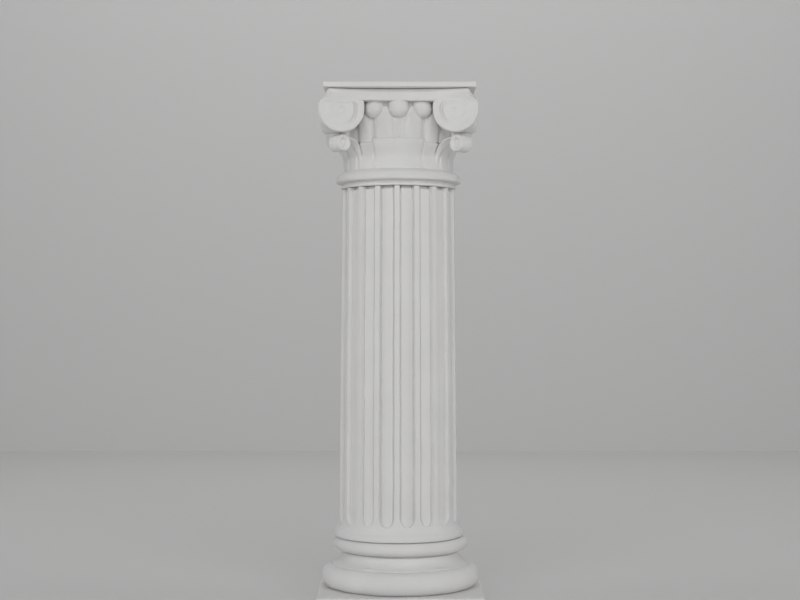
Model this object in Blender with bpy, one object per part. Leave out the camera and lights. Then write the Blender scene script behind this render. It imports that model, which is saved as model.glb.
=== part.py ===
"""Fluted column with a round base and a four-cornered volute capital, cast in white plaster.

Four castings stand on each other: base, shaft, capital and abacus plate.
Metres, +Z up. The origin is the centre of the underside, and the front looks along -Y.
"""

from math import cos, pi, radians, sin, sqrt

import bmesh
import bpy
from mathutils import Matrix, Vector

# Joint between two castings, and how deep the forms of one casting run into each other
SEAT_GAP = 0.0003
ROOT = 0.0020

# Base: square plinth, large torus, scotia and small torus
PLINTH_HEIGHT = 0.0140
PLINTH_MARGIN = 0.0012
PLINTH_EDGE = 0.0004
LOWER_TORUS_HEIGHT = 0.0131
LOWER_TORUS_PROJECTION = 0.0109
SCOTIA_HEIGHT = 0.0071
SCOTIA_RADIUS = 0.0340
UPPER_TORUS_HEIGHT = 0.0088
UPPER_TORUS_CUT = 0.0005
UPPER_TORUS_PROJECTION = 0.0046

# Shaft: rounded foot, flare and flutes
SHAFT_HEIGHT = 0.2003
SHAFT_RADIUS = 0.0343
SHAFT_TAPER = 0.0016
STRAIGHT_HEIGHT = 0.0110
ENTASIS = 1.35
FOOT_HEIGHT = 0.0035
FOOT_PROJECTION = 0.0029
FOOT_ROUNDING = 0.0005
FLARE_HEIGHT = 0.0048
FLARE_PROJECTION = 0.0024
FLARE_CURVE = 1.5
FLUTES = 18
FILLET_WIDTH = 0.0031
FLUTE_DEPTH = 0.0020
FLUTE_WALL_CURVE = 0.67
FLUTE_END_HEIGHT = 0.0057

# Capital, its neck: thin band, cavetto and astragal
BAND_HEIGHT = 0.0012
BAND_PROJECTION = 0.0005
CAVETTO_HEIGHT = 0.0026
CAVETTO_PROJECTION = 0.0024
ASTRAGAL_HEIGHT = 0.0049
ASTRAGAL_PROJECTION = 0.0036

# Capital, its bell with a low tier of broad leaves and a high tier of tongues
BELL_HEIGHT = 0.0379
BELL_SETBACK = 0.0017
BELL_FLARE = 0.0050
LEAF_THICKNESS = 0.0009
LEAF_CREST = 0.0029
BROAD_LEAF_HEIGHT = 0.0173
SIDE_LEAF_HEIGHT = 0.0154
LEAF_GROOVE_DEPTH = 0.0012
VALLEY_START_ANGLE = 39.5
VALLEY_SIDE_ANGLE = 1.8
VALLEY_DEPTH = 0.0020
LEDGE_HEIGHT = 0.0005
INNER_TONGUE_START = 5.5
INNER_TONGUE_END = 24.7
INNER_TONGUE_TIP = 12.2
INNER_TONGUE_HEIGHT = 0.0359
OUTER_TONGUE_START = 27.2
OUTER_TONGUE_END = 44.5
OUTER_TONGUE_TIP = 33.3
OUTER_TONGUE_HEIGHT = 0.0320
TONGUE_POINT_HEIGHT = 0.0090
TONGUE_RELIEF = 0.0014

# Capital, its eggs
EGGS_PER_SIDE = 3
EGG_ANGLE = 22.5
EGG_RADIUS = 0.0053
EGG_PROJECTION = 0.0010
EGG_DROP = 0.0041

# Capital, its corner leaves: a stem up the bell, and a rolled tip joined to the horn by a neck
STEM_WIDTH = 0.0044
STEM_THICKNESS = 0.0026
STEM_SETBACK = 0.0011
CURL_WIDTH = 0.0094
CURL_RADIUS = 0.0046
CURL_REACH = 0.0172
CURL_DROP = 0.0236
CURL_EDGE = 0.0008
CURL_NECK_SETBACK = 0.0034
CURL_NECK_WIDTH = 0.0046
CURL_NECK_RISE = 0.0108

# Capital, its volutes
VOLUTE_RADIUS = 0.0128
VOLUTE_TOP = 0.0082
VOLUTE_SHOULDER = 0.7
VOLUTE_DROP = 0.0051
VOLUTE_SPREAD = 0.0008
VOLUTE_PROJECTION = 0.0112
VOLUTE_TURN = 12.0
VOLUTE_ROOT_SETBACK = 0.0010
VOLUTE_BAND = 0.0048
VOLUTE_GROOVE_WIDTH = 0.0012
VOLUTE_GROOVE_DEPTH = 0.0010
VOLUTE_TURNS = 2
SPIRAL_START = 150.0

# Abacus: the hollow-sided block is part of the capital, and the square plate lies on it
ABACUS_HEIGHT = 0.0069
ABACUS_SAGITTA = 0.0034
ABACUS_FLARE = 0.0022
ABACUS_SETBACK = 0.0028
ABACUS_CORNER = 0.0024
PLATE_WIDTH = 0.0854
PLATE_HEIGHT = 0.0028
PLATE_EDGE = 0.0003

# Number of facets
TURNED_SIDES = 36
TORUS_FACETS = 5
FLUTE_FACETS = 5
FILLET_FACETS = 2
FLUTE_END_FACETS = 3
VOLUTE_SIDES = 14
CURL_SIDES = 10
STEM_FACETS = 5
TONGUE_FACETS = 3
LEAF_SHARES = (0.1, 0.45, 0.85, 1.0)
BELL_SHARES = (0.0, 0.45, 0.7, 0.86, 1.0)

# Heights and radii that follow from the sizes above
BASE_TOP = PLINTH_HEIGHT + LOWER_TORUS_HEIGHT + SCOTIA_HEIGHT + UPPER_TORUS_HEIGHT - UPPER_TORUS_CUT
SHAFT_BOTTOM = BASE_TOP + SEAT_GAP
SHAFT_TOP = SHAFT_BOTTOM + SHAFT_HEIGHT
SHAFT_TOP_RADIUS = SHAFT_RADIUS - SHAFT_TAPER
CAPITAL_BOTTOM = SHAFT_TOP + SEAT_GAP
BELL_BOTTOM = CAPITAL_BOTTOM + BAND_HEIGHT + CAVETTO_HEIGHT + ASTRAGAL_HEIGHT
BELL_RADIUS = SHAFT_TOP_RADIUS - BELL_SETBACK
CURL_OUT = BELL_RADIUS + CURL_REACH
VOLUTE_ROOT = BELL_RADIUS - VOLUTE_ROOT_SETBACK
VOLUTE_OUT = BELL_RADIUS + VOLUTE_SPREAD
VOLUTE_FRONT = BELL_RADIUS + VOLUTE_PROJECTION
LEAF_SPLIT_ANGLE = (INNER_TONGUE_END + OUTER_TONGUE_START) / 2
TONGUES = (
    (INNER_TONGUE_START, INNER_TONGUE_END, INNER_TONGUE_TIP, INNER_TONGUE_HEIGHT),
    (OUTER_TONGUE_START, OUTER_TONGUE_END, OUTER_TONGUE_TIP, OUTER_TONGUE_HEIGHT),
)
ABACUS_BOTTOM = BELL_BOTTOM + BELL_HEIGHT
ABACUS_TOP = ABACUS_BOTTOM + ABACUS_HEIGHT
PLATE_BOTTOM = ABACUS_TOP + SEAT_GAP


def clear_scene():
    """Remove the objects of the open file."""
    for item in list(bpy.data.objects):
        bpy.data.objects.remove(item, do_unlink=True)


def plaster(name, colour, roughness):
    """Matt material of one casting."""
    material = bpy.data.materials.new(name)
    material.use_nodes = True
    shader = material.node_tree.nodes["Principled BSDF"]
    shader.inputs["Base Color"].default_value = (*colour, 1.0)
    shader.inputs["Roughness"].default_value = roughness
    shader.inputs["Metallic"].default_value = 0.0
    return material


def add_object(name, bm, material=None):
    """Turn a bmesh of closed bodies into an object with smooth shading; no material makes it a guide."""
    bmesh.ops.remove_doubles(bm, verts=bm.verts, dist=0.000001)
    bmesh.ops.recalc_face_normals(bm, faces=bm.faces)
    mesh = bpy.data.meshes.new(name)
    bm.to_mesh(mesh)
    bm.free()
    mesh.shade_smooth()
    mesh.set_sharp_from_angle(angle=radians(40.0))
    item = bpy.data.objects.new(name, mesh)
    bpy.context.scene.collection.objects.link(item)
    if material:
        mesh.materials.append(material)
    else:
        item.hide_render = True
        item.display_type = "WIRE"
    return item


def unite(body, guides):
    """Join guides to a body, so that they are one casting."""
    for guide in guides:
        join = body.modifiers.new(f"join {guide.name}", "BOOLEAN")
        join.operation = "UNION"
        join.solver = "EXACT"
        join.object = guide


def polar(angle, radius, height):
    """Point at an angle from the front, anticlockwise seen from above."""
    return Vector((radius * sin(angle), -radius * cos(angle), height))


def ease(value):
    """Go smoothly from 0 to 1 while value goes from 0 to 1."""
    value = min(max(value, 0.0), 1.0)
    return value * value * (3.0 - 2.0 * value)


def add_rings(bm, rings):
    """Closed body through rings of equally many points, with a face over each end."""
    rows = [[bm.verts.new(point) for point in ring] for ring in rings]
    for lower, upper in zip(rows, rows[1:]):
        bridge(bm, lower, upper)
    bm.faces.new(reversed(rows[0]))
    bm.faces.new(rows[-1])


def bridge(bm, lower, upper):
    """Band of faces between two rings of corners."""
    for here in range(len(lower)):
        after = (here + 1) % len(lower)
        bm.faces.new((lower[here], lower[after], upper[after], upper[here]))


def turned_rings(profile):
    """Rings of a turned form, from a profile of radius and height, bottom to top."""
    angles = [2 * pi * side / TURNED_SIDES for side in range(TURNED_SIDES)]
    return [[polar(angle, radius, height) for angle in angles] for radius, height in profile]


def arc(centre_radius, centre_height, width, height, start, end, facets):
    """Profile points on an ellipse; the angles are in degrees, 0 outwards and 90 upwards."""
    points = []
    for step in range(facets + 1):
        angle = radians(start + (end - start) * step / facets)
        points.append((centre_radius + width * cos(angle), centre_height + height * sin(angle)))
    return points


def base_profile():
    """Lower torus, scotia and upper torus, as radius and height."""
    half = LOWER_TORUS_HEIGHT / 2
    torus_radius = SHAFT_RADIUS + LOWER_TORUS_PROJECTION - half
    lower = arc(torus_radius, PLINTH_HEIGHT + half, half, half, -90, 90, TORUS_FACETS + 2)
    lower[0] = (torus_radius, PLINTH_HEIGHT - ROOT)
    small_half = UPPER_TORUS_HEIGHT / 2
    small_radius = SHAFT_RADIUS + UPPER_TORUS_PROJECTION - small_half
    scotia_bottom = PLINTH_HEIGHT + LOWER_TORUS_HEIGHT
    scotia_top = scotia_bottom + SCOTIA_HEIGHT
    scotia = arc(torus_radius, scotia_top, SCOTIA_RADIUS - torus_radius, -SCOTIA_HEIGHT, 90, 8, 4)
    upper = arc(small_radius, scotia_top + small_half, small_half, small_half, -90, 58, TORUS_FACETS)
    top_width = sqrt(small_half ** 2 - (small_half - UPPER_TORUS_CUT) ** 2)
    return lower + scotia[1:] + upper + [(small_radius + top_width, BASE_TOP)]


def make_base(material):
    """Square plinth and its turned mouldings."""
    half = SHAFT_RADIUS + LOWER_TORUS_PROJECTION + PLINTH_MARGIN
    bm = bmesh.new()
    add_rings(bm, square_rings(half, 0.0, PLINTH_HEIGHT, PLINTH_EDGE))
    plinth = add_object("base", bm, material)
    bm = bmesh.new()
    add_rings(bm, turned_rings(base_profile()))
    unite(plinth, [add_object("base mouldings guide", bm)])


def square_rings(half, bottom, height, edge):
    """Rings of a square slab whose long edges are broken by a small chamfer."""
    rings = []
    for size, level in ((half - edge, 0.0), (half, edge), (half, height - edge), (half - edge, height)):
        inner = size - edge
        corners = ((inner, -size), (size, -inner), (size, inner), (inner, size),
                   (-inner, size), (-size, inner), (-size, -inner), (-inner, -size))
        rings.append([Vector((x, y, bottom + level)) for x, y in corners])
    return rings


def shaft_radius(height):
    """Radius of the fillets: straight at first, then drawn in towards the top."""
    rise = max(0.0, height - STRAIGHT_HEIGHT) / (SHAFT_HEIGHT - STRAIGHT_HEIGHT)
    return SHAFT_RADIUS - SHAFT_TAPER * rise ** ENTASIS


def fluted_ring(height, radius, opening):
    """Ring across the flutes, which open from nothing at 0 to their full width and depth at 1."""
    pitch = 2 * pi / FLUTES
    half_flute = (pitch - FILLET_WIDTH / SHAFT_RADIUS) / 2 * opening
    points = []
    for flute in range(FLUTES):
        middle = (flute + 0.5) * pitch
        for step in range(FLUTE_FACETS + 1):
            across = -cos(pi * step / FLUTE_FACETS)
            depth = FLUTE_DEPTH * opening * (1.0 - across ** 4) ** FLUTE_WALL_CURVE
            points.append(polar(middle + across * half_flute, radius - depth, height))
        for step in range(1, FILLET_FACETS):
            along = step / FILLET_FACETS
            angle = middle + half_flute + along * (pitch - 2 * half_flute)
            points.append(polar(angle, radius, height))
    return points


def make_shaft(material):
    """Rounded foot, flare, and the fluted shaft with its round flute ends."""
    flute_start = FOOT_HEIGHT + FLARE_HEIGHT
    rows = []
    for step in range(3):
        angle = radians(-60 + 60 * step)
        bulge = FOOT_PROJECTION - FOOT_ROUNDING * (1.0 - cos(angle))
        rows.append((FOOT_HEIGHT * step / 2, SHAFT_RADIUS + bulge, 0.0))
    for step in range(4):
        angle = pi / 2 * step / 4
        height = FOOT_HEIGHT + FLARE_HEIGHT * sin(angle)
        rows.append((height, SHAFT_RADIUS + FLARE_PROJECTION * (1.0 - sin(angle)) ** FLARE_CURVE, 0.0))
    for step in range(FLUTE_END_FACETS):
        angle = pi / 2 * step / FLUTE_END_FACETS
        height = flute_start + FLUTE_END_HEIGHT * (1.0 - cos(angle))
        rows.append((height, shaft_radius(height), sin(angle)))
    full = flute_start + FLUTE_END_HEIGHT
    for step in range(4):
        height = full + (SHAFT_HEIGHT - full) * step / 3
        rows.append((height, shaft_radius(height), 1.0))
    bm = bmesh.new()
    add_rings(bm, [fluted_ring(SHAFT_BOTTOM + height, radius, opening) for height, radius, opening in rows])
    add_object("shaft", bm, material)


def neck_profile():
    """Thin band, cavetto and astragal under the bell, as radius and height."""
    band = SHAFT_TOP_RADIUS + BAND_PROJECTION
    cavetto = SHAFT_TOP_RADIUS + CAVETTO_PROJECTION
    ring = SHAFT_TOP_RADIUS + ASTRAGAL_PROJECTION
    band_top = CAPITAL_BOTTOM + BAND_HEIGHT
    cavetto_top = band_top + CAVETTO_HEIGHT
    profile = [(band, CAPITAL_BOTTOM), (band, band_top)]
    for step in range(3):
        angle = pi / 2 * step / 2
        radius = SHAFT_TOP_RADIUS + (cavetto - SHAFT_TOP_RADIUS) * (1.0 - cos(angle))
        profile.append((radius, band_top + CAVETTO_HEIGHT * sin(angle)))
    third = ASTRAGAL_HEIGHT / 3
    profile += arc(BELL_RADIUS, cavetto_top + third, ring - BELL_RADIUS, third, -35, 0, 1)
    profile += arc(BELL_RADIUS, cavetto_top + third, ring - BELL_RADIUS, 2 * third, 25, 70, 2)
    profile.append((BELL_RADIUS - ROOT, BELL_BOTTOM))
    return profile


def fold(angle):
    """Angle in degrees from the middle of the nearest side, 0 to 45."""
    return abs((angle + 45.0) % 90.0 - 45.0)


def leaf_top(turn):
    """Height of the low tier at an angle from the middle of a side."""
    if turn <= LEAF_SPLIT_ANGLE:
        return BROAD_LEAF_HEIGHT
    return SIDE_LEAF_HEIGHT


def groove(turn):
    """Depth of the groove between two low leaves, and of the valley at the corner."""
    half = (OUTER_TONGUE_START - INNER_TONGUE_END) / 2
    split = LEAF_GROOVE_DEPTH * (1.0 - ease(abs(turn - LEAF_SPLIT_ANGLE) / half))
    valley = VALLEY_DEPTH * ease((turn - VALLEY_START_ANGLE) / VALLEY_SIDE_ANGLE)
    return max(split, valley)


def bell_ground(height):
    """Radius of the plain bell, which flares to its lip."""
    return BELL_RADIUS + BELL_FLARE * (height / BELL_HEIGHT) ** 2


def tongue_relief(turn, height):
    """How far the pointed tongues of the high tier stand off the bell."""
    relief = 0.0
    for low, high, tip, top in TONGUES:
        opened = sqrt(max(0.0, min(1.0, (top - height) / TONGUE_POINT_HEIGHT)))
        left = tip + (low - tip) * opened
        right = tip + (high - tip) * opened
        half = (right - left) / 2
        off = abs(turn - (left + right) / 2)
        if off < half:
            relief = TONGUE_RELIEF * (1.0 - (off / half) ** 4)
    return relief


def bell_column(angle):
    """Points up the bell at an angle in degrees: the low leaf, a ledge, then the high tier."""
    turn = fold(angle)
    top = leaf_top(turn)
    points = [polar(radians(angle), BELL_RADIUS - groove(turn), BELL_BOTTOM - ROOT / 2)]
    for share in LEAF_SHARES:
        height = top * share
        crest = LEAF_CREST * ease((share - 0.4) / 0.5) - LEAF_CREST * 0.4 * ease((share - 0.9) / 0.1)
        radius = BELL_RADIUS + LEAF_THICKNESS + crest - groove(turn)
        points.append(polar(radians(angle), radius, BELL_BOTTOM + height))
    start = top + LEDGE_HEIGHT
    for share in BELL_SHARES:
        height = start + (BELL_HEIGHT + ROOT - start) * share
        radius = bell_ground(height) + tongue_relief(turn, height)
        points.append(polar(radians(angle), radius, BELL_BOTTOM + height))
    return points


def bell_angles():
    """Angles of the bell's columns, with one on each edge of a leaf, groove or tongue."""
    marks = {0.0, LEAF_SPLIT_ANGLE, VALLEY_START_ANGLE, VALLEY_START_ANGLE + VALLEY_SIDE_ANGLE, 45.0}
    for low, high, _, _ in TONGUES:
        marks |= {low + (high - low) * step / TONGUE_FACETS for step in range(TONGUE_FACETS + 1)}
    half = sorted(mark for mark in marks if 0.0 <= mark <= 45.0)
    quarter = half + [90.0 - mark for mark in reversed(half[1:-1])]
    return [mark + 90.0 * side for side in range(4) for mark in quarter]


def add_bell(bm):
    """Bell with its two tiers of leaves, in flat faces."""
    columns = [bell_column(angle) for angle in bell_angles()]
    add_rings(bm, [list(ring) for ring in zip(*columns)])
    bmesh.ops.triangulate(bm, faces=[face for face in bm.faces if len(face.verts) == 4])


def add_eggs(bm):
    """Row of eggs between the volutes on each side."""
    radius = SHAFT_TOP_RADIUS + EGG_PROJECTION
    for side in range(4):
        for egg in range(EGGS_PER_SIDE):
            turn = (egg - (EGGS_PER_SIDE - 1) / 2) * EGG_ANGLE
            place = polar(radians(90.0 * side + turn), radius, ABACUS_BOTTOM - EGG_DROP)
            bmesh.ops.create_icosphere(bm, subdivisions=2, radius=EGG_RADIUS, matrix=Matrix.Translation(place))


def curl_section():
    """Outline of a curled leaf tip in the diagonal plane: a round roll with a neck rising from it."""
    points = []
    for step in range(CURL_SIDES):
        angle = radians(60.0) - 2 * pi * 5 / 6 * step / (CURL_SIDES - 1)
        points.append((CURL_RADIUS * cos(angle), CURL_RADIUS * sin(angle)))
    points.append((-CURL_NECK_SETBACK - CURL_NECK_WIDTH / 2, CURL_NECK_RISE))
    points.append((-CURL_NECK_SETBACK + CURL_NECK_WIDTH / 2, CURL_NECK_RISE))
    return points


def add_curls(bm):
    """Curled leaf tip under each corner's horn."""
    half = CURL_WIDTH / 2
    small = 1.0 - CURL_EDGE / CURL_RADIUS
    for corner in range(4):
        spin = Matrix.Rotation(radians(90.0 * corner + 45.0), 3, "Z")
        rings = []
        for across, size in ((-half, small), (CURL_EDGE - half, 1.0), (half - CURL_EDGE, 1.0), (half, small)):
            ring = []
            for out, up in curl_section():
                place = Vector((across, -(CURL_OUT + out * size), ABACUS_BOTTOM - CURL_DROP + up * size))
                ring.append(spin @ place)
            rings.append(ring)
        add_rings(bm, rings)


def stem_section():
    """Outline of a leaf's stem in the diagonal plane: up from the neck, then out to the rolled tip."""
    foot = Vector((BELL_RADIUS - STEM_SETBACK, BELL_BOTTOM - ROOT))
    reach = CURL_OUT - CURL_NECK_SETBACK - foot.x
    rise = ABACUS_BOTTOM - CURL_DROP + CURL_RADIUS - STEM_THICKNESS / 2 - foot.y
    outer = []
    inner = []
    for step in range(STEM_FACETS + 1):
        angle = pi / 2 * step / STEM_FACETS
        middle = foot + Vector((reach * (1.0 - cos(angle)), rise * sin(angle)))
        side = Vector((rise * cos(angle), -reach * sin(angle))).normalized() * STEM_THICKNESS / 2
        outer.append(middle + side)
        inner.append(middle - side)
    return outer + inner[::-1]


def add_stems(bm):
    """Stem of each corner leaf."""
    for corner in range(4):
        spin = Matrix.Rotation(radians(90.0 * corner + 45.0), 3, "Z")
        rings = []
        for across in (-STEM_WIDTH / 2, STEM_WIDTH / 2):
            rings.append([spin @ Vector((across, -out, up)) for out, up in stem_section()])
        add_rings(bm, rings)


def volute_place(corner, mirrored):
    """Function that puts a point of a volute's face in its place, from its distances from the centre."""
    turn = radians(VOLUTE_TURN)
    outward = Vector((cos(turn), -sin(turn), 0.0))
    forward = Vector((-sin(turn), -cos(turn), 0.0))
    centre = Vector((VOLUTE_OUT, -VOLUTE_FRONT, ABACUS_BOTTOM - VOLUTE_DROP))
    spin = Matrix.Rotation(pi / 2 * corner, 3, "Z")

    def place(out, up, front=0.0):
        point = centre + outward * out + forward * front
        point.z += up
        if mirrored:
            point.x, point.y = -point.y, -point.x
        return spin @ point

    return place


def volute_outline(radius, angle):
    """Point on the outline: round below, and square-shouldered where it meets the abacus."""
    out = cos(angle)
    up = sin(angle)
    if up <= 0.0:
        return radius * out, radius * up
    wide = abs(out) ** VOLUTE_SHOULDER
    height = VOLUTE_TOP * radius / VOLUTE_RADIUS * up ** VOLUTE_SHOULDER
    return radius * (wide if out > 0.0 else -wide), height


def volute_middle(corner, out, up):
    """Point in the diagonal plane, between the two faces of a corner and back to the bell."""
    place = volute_place(corner, False)
    edge = place(VOLUTE_RADIUS, 0.0)
    mirrored = volute_place(corner, True)(VOLUTE_RADIUS, 0.0)
    reach = ((edge + mirrored) / 2).to_2d().length
    share = (out / VOLUTE_RADIUS + 1.0) / 2
    distance = VOLUTE_ROOT + (reach - VOLUTE_ROOT) * share
    return polar(radians(90.0 * corner + 45.0), distance, place(out, up).z)


def add_volute_pair(bm, corner):
    """Two volutes that share one corner, with the horn between them."""
    angles = [radians(SPIRAL_START) - 2 * pi * step / VOLUTE_SIDES for step in range(VOLUTE_SIDES)]
    outline = [volute_outline(VOLUTE_RADIUS, angle) for angle in angles]
    middle = [bm.verts.new(volute_middle(corner, out, up)) for out, up in outline]
    for mirrored in (False, True):
        place = volute_place(corner, mirrored)
        face = [bm.verts.new(place(out, up)) for out, up in outline]
        bridge(bm, middle, face)
        add_spiral(bm, place, face)


def add_spiral(bm, place, face):
    """Volute's face inside its outline: one band wound inwards around the eye."""
    count = VOLUTE_SIDES
    last = count * VOLUTE_TURNS
    crest = [face[0]]
    trough = [face[0]]
    for step in range(1, last + 1):
        angle = radians(SPIRAL_START) - 2 * pi * step / count
        start = min(1.0, 4 * step / count)
        radius = VOLUTE_RADIUS - VOLUTE_BAND * step / count
        crest.append(bm.verts.new(place(*volute_outline(radius, angle))))
        inner = volute_outline(radius - VOLUTE_GROOVE_WIDTH * start, angle)
        trough.append(bm.verts.new(place(*inner, -VOLUTE_GROOVE_DEPTH * start)))
    for step in range(last):
        if step < count:
            outer = (face[step], face[(step + 1) % count])
        else:
            outer = (trough[step - count], trough[step - count + 1])
        add_face(bm, (*outer, crest[step + 1], crest[step]))
        add_face(bm, (crest[step], crest[step + 1], trough[step + 1], trough[step]))
    eye = bm.verts.new(place(0.0, 0.0))
    loop = trough[last - count:] + [crest[last]]
    for here, after in zip(loop, loop[1:] + loop[:1]):
        bm.faces.new((here, after, eye))


def add_face(bm, corners):
    """Face through corners, of which two may be the same."""
    bm.faces.new(list(dict.fromkeys(corners)))


def abacus_ring(half, height):
    """Square with hollow sides and cut corners."""
    end = half - ABACUS_CORNER
    points = []
    for side in range(4):
        spin = Matrix.Rotation(pi / 2 * side, 3, "Z")
        for step in range(9):
            x = -end + end * step / 4
            y = -half + ABACUS_SAGITTA * (1.0 - (x / end) ** 2)
            points.append(spin @ Vector((x, y, height)))
    return points


def add_abacus(bm):
    """Hollow-sided block that spreads downwards."""
    half = PLATE_WIDTH / 2 - ABACUS_SETBACK
    rings = []
    for share in (0.0, 0.3, 0.65, 1.0):
        spread = ABACUS_FLARE * (1.0 - ease(share))
        rings.append(abacus_ring(half + spread, ABACUS_BOTTOM + ABACUS_HEIGHT * share))
    add_rings(bm, rings)


def make_capital(material):
    """One casting: neck, bell and leaves, eggs, curled tips, volutes and the abacus block."""
    bm = bmesh.new()
    add_rings(bm, turned_rings(neck_profile()))
    neck = add_object("capital", bm, material)
    guides = []
    forms = (("bell", add_bell), ("abacus", add_abacus), ("eggs", add_eggs), ("stems", add_stems),
             ("curls", add_curls))
    for name, build in forms:
        bm = bmesh.new()
        build(bm)
        guides.append(add_object(f"{name} guide", bm))
    bm = bmesh.new()
    for corner in range(4):
        add_volute_pair(bm, corner)
    guides.append(add_object("volutes guide", bm))
    unite(neck, guides)


def make_plate(material):
    """Thin square plate on top of the abacus."""
    bm = bmesh.new()
    add_rings(bm, square_rings(PLATE_WIDTH / 2, PLATE_BOTTOM, PLATE_HEIGHT, PLATE_EDGE))
    add_object("abacus_plate", bm, material)


clear_scene()
make_base(plaster("base plaster", (0.76, 0.75, 0.74), 0.85))
make_shaft(plaster("shaft plaster", (0.78, 0.77, 0.76), 0.85))
make_capital(plaster("capital plaster", (0.77, 0.76, 0.75), 0.85))
make_plate(plaster("plate plaster", (0.82, 0.81, 0.79), 0.80))
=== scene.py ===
"""Looks of the fluted plaster column: four castings, a plain floor, soft light and a camera."""

from math import atan2, cos, degrees, pi, radians, sin, sqrt, tan

import bmesh
import bpy
from mathutils import Matrix, Vector, noise


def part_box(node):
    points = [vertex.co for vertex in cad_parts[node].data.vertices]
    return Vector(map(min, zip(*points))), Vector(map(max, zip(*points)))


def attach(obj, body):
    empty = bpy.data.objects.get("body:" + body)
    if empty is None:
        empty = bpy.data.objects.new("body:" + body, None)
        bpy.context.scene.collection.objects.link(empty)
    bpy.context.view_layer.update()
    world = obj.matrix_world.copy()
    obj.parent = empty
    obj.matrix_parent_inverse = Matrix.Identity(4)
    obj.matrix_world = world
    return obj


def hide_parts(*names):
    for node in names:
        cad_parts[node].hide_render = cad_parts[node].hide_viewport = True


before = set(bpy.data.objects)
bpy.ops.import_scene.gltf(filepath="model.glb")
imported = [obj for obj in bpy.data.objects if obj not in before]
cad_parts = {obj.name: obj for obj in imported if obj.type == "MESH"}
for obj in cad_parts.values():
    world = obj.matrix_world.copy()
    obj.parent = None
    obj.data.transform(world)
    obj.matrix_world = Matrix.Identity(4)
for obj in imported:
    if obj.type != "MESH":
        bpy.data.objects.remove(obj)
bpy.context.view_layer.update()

# Base
# One casting of white plaster: a square plinth under a large torus, a scotia and a small torus.
# It came out of a two-part rubber mould, so its rims are a little soft and uneven.

MM = 0.001
BASE_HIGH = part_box("base")[1]
BASE_TOP = BASE_HIGH[2] / MM
PLINTH_SPREAD = 0.4
PLINTH_HALF = BASE_HIGH[0] / MM + PLINTH_SPREAD
PLINTH_HEIGHT = 14.0
PLINTH_EDGE = 0.5
EDGE_SHARE = 0.3
PLINTH_MARGIN = 1.2
LOWER_TORUS_HEIGHT = 13.1
SCOTIA_HEIGHT = 7.1
SCOTIA_RADIUS = 33.2
SCOTIA_SAG = 0.55
SCOTIA_FILLET = 0.6
SCOTIA_SETBACK = 0.2
# Lumps left in the scotia: angle from the front, half width in degrees, and size.
SCOTIA_LUMPS = (
    (-28.0, 7.0, 0.55), (34.0, 9.0, 0.5), (-1.0, 6.0, 0.25), (128.0, 8.0, 0.4), (-140.0, 7.0, 0.4))
LUMP_HEIGHT = 27.9
LUMP_REACH = 1.1
LUMP_LIFT = 0.6
LUMP_GRAIN = 1.6
UPPER_TORUS_CUT = 0.5
UNDERCUT_HEIGHT = 0.9
UPPER_TORUS_RADIUS = 38.9
BASE_ANGLES = [1.25 * step for step in range(288)]
BASE_SHIFT = Vector((1.1, 0.0, 0.0))
BASE_WAVE = 9.0
BASE_WAVE_DEPTH = 0.16
CALM_RIM = 0.8
CALM_SHARE = 0.25
PLASTER_COLOUR = (0.80, 0.795, 0.785)
SHARP_ANGLE = 38.0
WELD_DISTANCE = 0.000002
NOISE_SEED = 4
noise.seed_set(NOISE_SEED)


def ease(value):
    """Go smoothly from 0 to 1 while value goes from 0 to 1."""
    value = min(max(value, 0.0), 1.0)
    return value * value * (3.0 - 2.0 * value)


def polar(angle, radius, height):
    """Point in millimetres at an angle in degrees from the front, anticlockwise seen from above."""
    turn = radians(angle)
    return Vector((radius * sin(turn), -radius * cos(turn), height))


def arc(centre_radius, centre_height, width, height, start, end, steps):
    """Profile points on an ellipse, from one angle to another; 0 is outwards and 90 is upwards."""
    points = []
    for step in range(steps + 1):
        angle = radians(start + (end - start) * step / steps)
        points.append((centre_radius + width * cos(angle), centre_height + height * sin(angle)))
    return points


def ring_of(angles, radius, height):
    """Turned ring of points about the axis."""
    return [polar(angle, radius, height) for angle in angles]


def uneven(point, size, depth):
    """Shift a point by smooth noise, as a hand-finished casting is never quite true."""
    return point + noise.noise_vector(point / size) * depth


def clear_of_ends(height, low, high, low_fade, high_fade):
    """Go from 0 at the two heights where a piece meets others to 1 between them."""
    return min(ease((height - low) / low_fade), ease((high - height) / high_fade))


def built_mesh(name, build, *given):
    """Mesh of the closed bodies that a function adds."""
    bm = bmesh.new()
    build(bm, *given)
    bmesh.ops.remove_doubles(bm, verts=bm.verts, dist=WELD_DISTANCE)
    bmesh.ops.recalc_face_normals(bm, faces=bm.faces)
    mesh = bpy.data.meshes.new(name)
    bm.to_mesh(mesh)
    bm.free()
    return mesh


def add_closed_rings(bm, rings):
    """Closed body through rings of equally many points in millimetres, fanned shut at both ends."""
    rows = [[bm.verts.new(point * MM) for point in ring] for ring in rings]
    for lower, upper in zip(rows, rows[1:]):
        add_band(bm, lower, upper)
    for row in (rows[0], rows[-1]):
        middle = bm.verts.new(sum((vert.co for vert in row), Vector()) / len(row))
        for here, after in zip(row, row[1:] + row[:1]):
            bm.faces.new((here, after, middle))


def add_band(bm, lower, upper):
    """Band of faces between two closed rows of corners."""
    for here in range(len(lower)):
        after = (here + 1) % len(lower)
        bm.faces.new((lower[here], lower[after], upper[after], upper[here]))


def add_piece(name, mesh, material):
    """Put a finished mesh in the scene in place of its node, with smooth faces."""
    mesh.shade_smooth()
    mesh.set_sharp_from_angle(angle=radians(SHARP_ANGLE))
    piece = bpy.data.objects.new(name, mesh)
    bpy.context.scene.collection.objects.link(piece)
    mesh.materials.clear()
    mesh.materials.append(material)
    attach(piece, "root")
    return piece


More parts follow.
